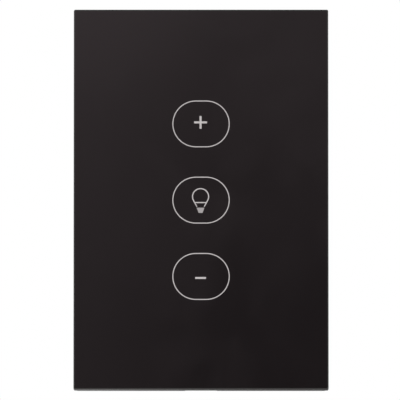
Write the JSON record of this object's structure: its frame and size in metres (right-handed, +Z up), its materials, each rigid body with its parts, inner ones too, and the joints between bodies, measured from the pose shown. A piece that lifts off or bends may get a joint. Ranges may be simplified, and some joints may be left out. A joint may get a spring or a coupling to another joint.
{
  "type": "smart dimmer switch",
  "caption": "Flush-mounted smart touch dimmer with a black glass front plate, ringed plus, bulb and minus touch keys, and a moulded housing with clamp terminals behind.",
  "frame": {"origin": "on the wall's surface, midway between the two mounting screws", "axes": "+X to the right and +Z up as the user sees it, +Y into the wall"},
  "size_m": [0.08, 0.039, 0.12],
  "materials": {
    "black_glass": "polished, printed black behind",
    "mark_print": "printed light grey",
    "tape_foam": "dull",
    "frame_black": "fine moulded",
    "board_green": "solder resist",
    "board_black": "solder resist",
    "spring_steel": "nickel plated",
    "cup_white": "moulded",
    "led_resin": "clear resin",
    "screw_zinc": "zinc plated",
    "shield_tin": "tinned sheet",
    "chip_black": "moulded epoxy",
    "connector_black": "moulded",
    "pin_gold": "gold flash",
    "housing_white": "fine spark-eroded texture",
    "terminal_grey": "moulded polyamide",
    "contact_brass": "tinned brass",
    "cage_steel": "yellow zinc plated",
    "sink_aluminium": "mill finish",
    "triac_body": "moulded epoxy on a tinned tab",
    "pad_silicone": "silicone",
    "film_yellow": "potted box",
    "core_coating": "powder coated iron core",
    "copper_wire": "enamelled copper",
    "can_sleeve": "shrink sleeve",
    "fuse_brown": "moulded cap",
    "varistor_blue": "epoxy dipped",
    "ferrite": "sintered",
    "coil_tape": "polyester tape"
  },
  "bodies": {
    "base": {"rear_housing": "housing_white", "inner_cover": "housing_white", "cover_screws": "screw_zinc", "power_board": "board_green", "pin_header": "connector_black", "header_pins": "pin_gold", "terminal_block": "terminal_grey", "terminal_contact_line": "contact_brass", "terminal_contact_neutral": "contact_brass", "terminal_contact_load": "contact_brass", "heat_sink": "sink_aluminium", "triac": "triac_body", "insulating_pad": "pad_silicone", "heat_sink_screw": "screw_zinc", "film_capacitor": "film_yellow", "choke_core": "core_coating", "choke_winding": "copper_wire", "bulk_capacitor": "can_sleeve", "filter_capacitor": "can_sleeve", "fuse": "fuse_brown", "varistor": "varistor_blue", "transformer_core": "ferrite", "transformer_winding": "coil_tape", "transformer_base": "connector_black", "bridge_rectifier": "chip_black", "regulator_ic": "chip_black", "optocoupler": "chip_black"},
    "front_panel": {"glass_panel": "black_glass", "key_mark_plus": "mark_print", "key_mark_on_off": "mark_print", "key_mark_minus": "mark_print", "adhesive_tape": "tape_foam", "front_frame": "frame_black", "touch_board": "board_green", "touch_spring_plus": "spring_steel", "light_cup_plus": "cup_white", "led_plus": "led_resin", "touch_spring_on_off": "spring_steel", "light_cup_on_off": "cup_white", "led_on_off": "led_resin", "touch_spring_minus": "spring_steel", "light_cup_minus": "cup_white", "led_minus": "led_resin", "board_screws": "screw_zinc", "wifi_module": "board_black", "wifi_shield": "shield_tin", "touch_ic": "chip_black", "board_socket": "connector_black"},
    "screw_line": {"terminal_screw_line": "screw_zinc"},
    "cage_line": {"terminal_cage_line": "cage_steel"},
    "screw_neutral": {"terminal_screw_neutral": "screw_zinc"},
    "cage_neutral": {"terminal_cage_neutral": "cage_steel"},
    "screw_load": {"terminal_screw_load": "screw_zinc"},
    "cage_load": {"terminal_cage_load": "cage_steel"}
  },
  "joints": [
    {"name": "front_panel_pull", "type": "slide", "parent": "base", "child": "front_panel", "axis": [0, -1, 0], "range_m": [0, 0.015]},
    {"name": "terminal_screw_line_turn", "type": "hinge", "parent": "base", "child": "screw_line", "pos_m": [-0.01, 0.0167, -0.0285], "axis": [0, -1, 0], "range_deg": [0, 1800]},
    {"name": "terminal_cage_line_rise", "type": "slide", "parent": "base", "child": "cage_line", "axis": [0, 1, 0], "range_m": [0, 0.0025]},
    {"name": "terminal_screw_neutral_turn", "type": "hinge", "parent": "base", "child": "screw_neutral", "pos_m": [0, 0.0167, -0.0285], "axis": [0, -1, 0], "range_deg": [0, 1800]},
    {"name": "terminal_cage_neutral_rise", "type": "slide", "parent": "base", "child": "cage_neutral", "axis": [0, 1, 0], "range_m": [0, 0.0025]},
    {"name": "terminal_screw_load_turn", "type": "hinge", "parent": "base", "child": "screw_load", "pos_m": [0.01, 0.0167, -0.0285], "axis": [0, -1, 0], "range_deg": [0, 1800]},
    {"name": "terminal_cage_load_rise", "type": "slide", "parent": "base", "child": "cage_load", "axis": [0, 1, 0], "range_m": [0, 0.0025]}
  ],
  "couplings": [
    {"joint": "terminal_screw_line_turn", "follows": "terminal_cage_line_rise", "rad_per_m": 12566},
    {"joint": "terminal_screw_neutral_turn", "follows": "terminal_cage_neutral_rise", "rad_per_m": 12566},
    {"joint": "terminal_screw_load_turn", "follows": "terminal_cage_load_rise", "rad_per_m": 12566}
  ]
}
